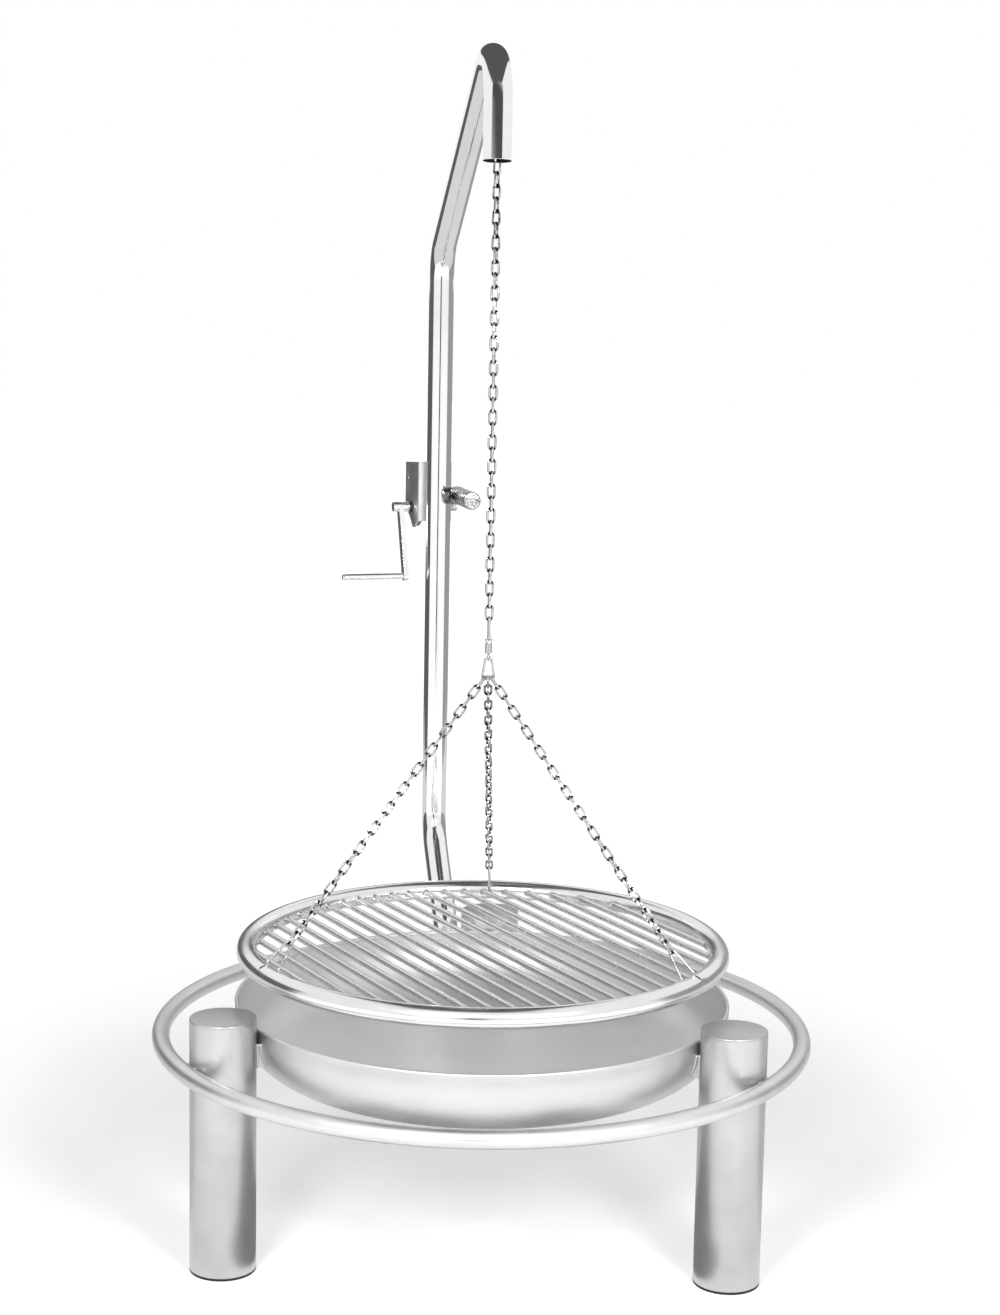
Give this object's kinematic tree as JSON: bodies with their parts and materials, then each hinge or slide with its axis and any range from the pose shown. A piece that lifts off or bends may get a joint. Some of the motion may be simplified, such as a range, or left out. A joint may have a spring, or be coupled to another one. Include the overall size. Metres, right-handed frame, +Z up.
{
  "type": "swing grill",
  "caption": "Stainless fire bowl on column legs with a foot ring, a swivelling bent-tube mast, a hand winch and a round grate hanging from chains.",
  "frame": {"origin": "floor level under the middle of the whole object's bounding box", "axes": "+Z up; +X to the right as seen from the front; -Y towards the front, so that the rear leg, the mast and the winch stand on the +Y side"},
  "size_m": [1.0499, 1.2821, 1.8706],
  "materials": {
    "satin_steel": "fine bead-blasted satin",
    "polished_steel": "polished",
    "plate_steel": "satin",
    "chain_steel": "tumbled bright",
    "bronze": "sintered",
    "foot_rubber": "matt"
  },
  "bodies": {
    "frame": {"leg_front_left": "satin_steel", "leg_front_right": "satin_steel", "leg_rear": "satin_steel", "leg_caps": "satin_steel", "foot_discs": "foot_rubber", "foot_ring": "satin_steel", "bowl": "satin_steel", "bowl_plates": "satin_steel", "socket_sleeve": "satin_steel", "socket_floor": "satin_steel", "thrust_disc": "bronze"},
    "mast": {"mast_tube": "polished_steel", "winch_bracket": "plate_steel", "bracket_screws": "polished_steel", "handle_lug": "polished_steel", "swing_handle": "polished_steel", "handle_screw": "polished_steel", "shaft_bushes": "bronze", "pawl_pin": "polished_steel", "feed_chain": "chain_steel", "mast_chain": "chain_steel"},
    "pawl": {"pawl": "plate_steel", "pawl_knob": "polished_steel"},
    "winch": {"winch_shaft": "polished_steel", "chain_drum": "plate_steel", "ratchet_wheel": "plate_steel", "wound_chain": "chain_steel", "crank_hub": "polished_steel", "crank_arm": "plate_steel", "shaft_nut": "polished_steel", "grip_pin": "polished_steel"},
    "grip": {"crank_grip": "polished_steel"},
    "hanger_upper": {"hang_link_upper": "chain_steel"},
    "hanger_lower": {"hang_link_lower": "chain_steel"},
    "lift": {"main_chain": "chain_steel", "upper_hook": "polished_steel", "swivel_barrel": "polished_steel"},
    "upper_gate": {"upper_hook_gate": "polished_steel"},
    "grate": {"swivel_eye": "polished_steel", "lower_hook": "polished_steel", "leg_chain_left": "chain_steel", "leg_chain_right": "chain_steel", "leg_chain_rear": "chain_steel", "chain_stirrups": "chain_steel", "grate_ring": "polished_steel", "grate_bars": "polished_steel"},
    "lower_gate": {"lower_hook_gate": "polished_steel"}
  },
  "joints": [
    {"name": "mast_swivel", "type": "hinge", "parent": "frame", "child": "mast", "pos_m": [-0.077, 0.32995, 0.066], "axis": [0, 0, 1], "range_deg": [-25, 120]},
    {"name": "pawl_lift", "type": "hinge", "parent": "mast", "child": "pawl", "pos_m": [-0.16434, 0.60686, 1.15], "axis": [0.9409, 0.3387, 0], "range_deg": [0, 20], "stiffness_Nm_per_rad": 0.1, "springref_deg": -5.73},
    {"name": "crank_turn", "type": "hinge", "parent": "mast", "child": "winch", "pos_m": [-0.13431, 0.59429, 1.098], "axis": [0.9409, 0.3387, 0], "range_deg": [-24, 1020]},
    {"name": "grip_spin", "type": "hinge", "parent": "winch", "child": "grip", "pos_m": [-0.2287, 0.51992, 0.97368], "axis": [0.9409, 0.3387, 0], "continuous": true},
    {"name": "sway_along_arm", "type": "hinge", "parent": "mast", "child": "hanger_upper", "pos_m": [0, -0.11605, 1.7085], "axis": [0.9854, 0.1701, 0], "range_deg": [-3, 3]},
    {"name": "sway_across_arm", "type": "hinge", "parent": "hanger_upper", "child": "hanger_lower", "pos_m": [0, -0.11605, 1.6895], "axis": [0.1701, -0.9854, 0], "range_deg": [-3, 3]},
    {"name": "grate_lift", "type": "slide", "parent": "hanger_lower", "child": "lift", "axis": [0, 0, 1], "range_m": [-0.01, 0.45], "deforming": ["main_chain"]},
    {"name": "upper_gate_hinge", "type": "hinge", "parent": "lift", "child": "upper_gate", "pos_m": [0.00077, -0.12049, 0.96903], "axis": [-0.9854, -0.1701, 0], "range_deg": [0, 15], "stiffness_Nm_per_rad": 0.02, "springref_deg": -11.46},
    {"name": "grate_spin", "type": "hinge", "parent": "lift", "child": "grate", "pos_m": [0, -0.11605, 0.935], "axis": [0, 0, 1], "continuous": true},
    {"name": "lower_gate_hinge", "type": "hinge", "parent": "grate", "child": "lower_gate", "pos_m": [0.007, -0.11605, 0.90709], "axis": [0, -1, 0], "range_deg": [0, 15], "stiffness_Nm_per_rad": 0.02, "springref_deg": -11.46}
  ],
  "couplings": [
    {"joint": "crank_turn", "follows": "grate_lift", "rad_per_m": 39.062}
  ]
}
